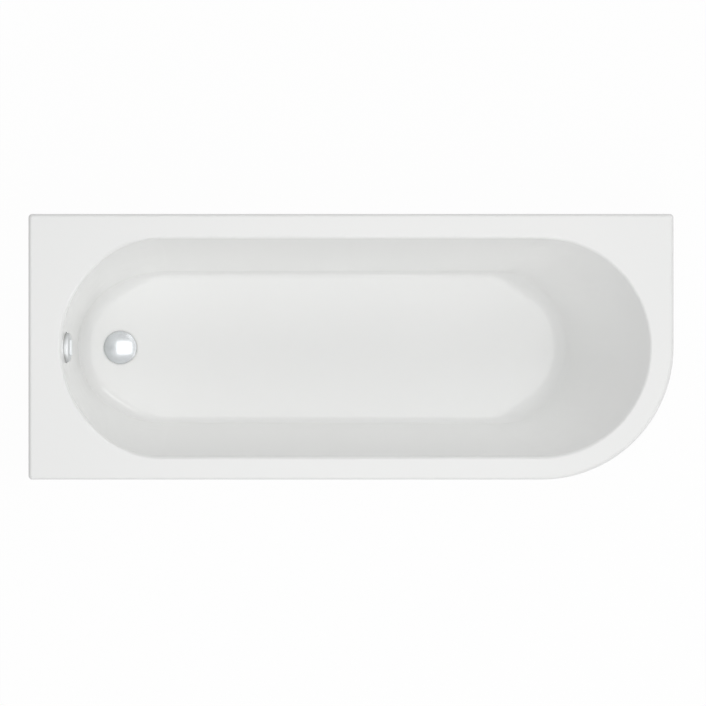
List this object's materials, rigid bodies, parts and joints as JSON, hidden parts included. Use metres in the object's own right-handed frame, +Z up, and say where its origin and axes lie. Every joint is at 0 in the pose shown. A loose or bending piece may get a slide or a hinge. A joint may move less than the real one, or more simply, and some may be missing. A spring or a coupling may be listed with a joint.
{
  "type": "j-shaped bathtub",
  "caption": "J-shaped bathtub: straight wall side, rounded sloping head end, wide rim, pop-up waste worked by a turning overflow dial, wrap-round panel and screw feet.",
  "frame": {"origin": "centre of the bath's plan, on the floor under its feet", "axes": "+X along the bath from the waste end to the rounded head end, +Y to the wall side, +Z up"},
  "size_m": [1.7, 0.7, 0.57],
  "materials": {
    "acrylic_white": "high gloss",
    "panel_white": "gloss",
    "chrome": "polished",
    "zinc_steel": "zinc plated",
    "white_plastic": "moulded",
    "grey_plastic": "moulded",
    "black_plastic": "moulded",
    "rubber": "matt",
    "chipboard": "raw board",
    "timber": "planed softwood"
  },
  "bodies": {
    "tub": {"baseboard": "chipboard", "bath_shell": "acrylic_white", "board_screws": "zinc_steel", "centre_foot_socket": "zinc_steel", "control_cable": "black_plastic", "front_panel": "panel_white", "hose_nut_lower": "white_plastic", "hose_nut_upper": "white_plastic", "leg_rail_foot_end": "zinc_steel", "leg_rail_head_end": "zinc_steel", "lever_pin": "zinc_steel", "overflow_elbow": "white_plastic", "overflow_face": "chrome", "overflow_gasket": "rubber", "overflow_hose": "grey_plastic", "overflow_screws": "zinc_steel", "panel_clips": "zinc_steel", "panel_screws": "zinc_steel", "panel_stays": "zinc_steel", "rim_batten_back": "timber", "rim_batten_foot": "timber", "rim_batten_front": "timber", "stud_nuts": "zinc_steel", "trap_body": "white_plastic", "trap_inlet_nut": "white_plastic", "trap_outlet_nut": "white_plastic", "trap_outlet_pipe": "white_plastic", "trap_seals": "rubber", "wall_bracket_foot_end": "zinc_steel", "wall_bracket_head_end": "zinc_steel", "waste_body": "white_plastic", "waste_flange": "chrome", "waste_gasket_lower": "rubber", "waste_gasket_upper": "rubber"},
    "dial": {"overflow_dial": "chrome", "dial_spindle": "grey_plastic"},
    "plug": {"plug_cover": "chrome", "plug_seal": "rubber", "plug_stem": "zinc_steel"},
    "lever": {"lift_lever": "zinc_steel"},
    "foot_1": {"foot_pad_1": "black_plastic", "foot_stud_1": "zinc_steel"},
    "foot_2": {"foot_pad_2": "black_plastic", "foot_stud_2": "zinc_steel"},
    "foot_3": {"foot_pad_3": "black_plastic", "foot_stud_3": "zinc_steel"},
    "foot_4": {"foot_pad_4": "black_plastic", "foot_stud_4": "zinc_steel"},
    "foot_5": {"foot_pad_5": "black_plastic", "foot_stud_5": "zinc_steel"}
  },
  "joints": [
    {"name": "dial_turn", "type": "hinge", "parent": "tub", "child": "dial", "pos_m": [-0.75399, -0.002, 0.47487], "axis": [0.9921, 0, 0.1253], "range_deg": [0, 90]},
    {"name": "plug_lift", "type": "slide", "parent": "tub", "child": "plug", "axis": [0, 0, 1], "range_m": [0, 0.01]},
    {"name": "lever_tilt", "type": "hinge", "parent": "tub", "child": "lever", "pos_m": [-0.628, -0.002, 0.126], "axis": [0, -1, 0], "range_deg": [0, 28]},
    {"name": "foot_1_height", "type": "slide", "parent": "tub", "child": "foot_1", "axis": [0, 0, 1], "range_m": [-0.02, 0.015]},
    {"name": "foot_2_height", "type": "slide", "parent": "tub", "child": "foot_2", "axis": [0, 0, 1], "range_m": [-0.02, 0.015]},
    {"name": "foot_3_height", "type": "slide", "parent": "tub", "child": "foot_3", "axis": [0, 0, 1], "range_m": [-0.02, 0.015]},
    {"name": "foot_4_height", "type": "slide", "parent": "tub", "child": "foot_4", "axis": [0, 0, 1], "range_m": [-0.02, 0.015]},
    {"name": "foot_5_height", "type": "slide", "parent": "tub", "child": "foot_5", "axis": [0, 0, 1], "range_m": [-0.02, 0.015]}
  ],
  "couplings": [
    {"joint": "plug_lift", "follows": "dial_turn", "m_per_rad": 0.006366},
    {"joint": "lever_tilt", "follows": "dial_turn", "ratio": 0.311}
  ]
}
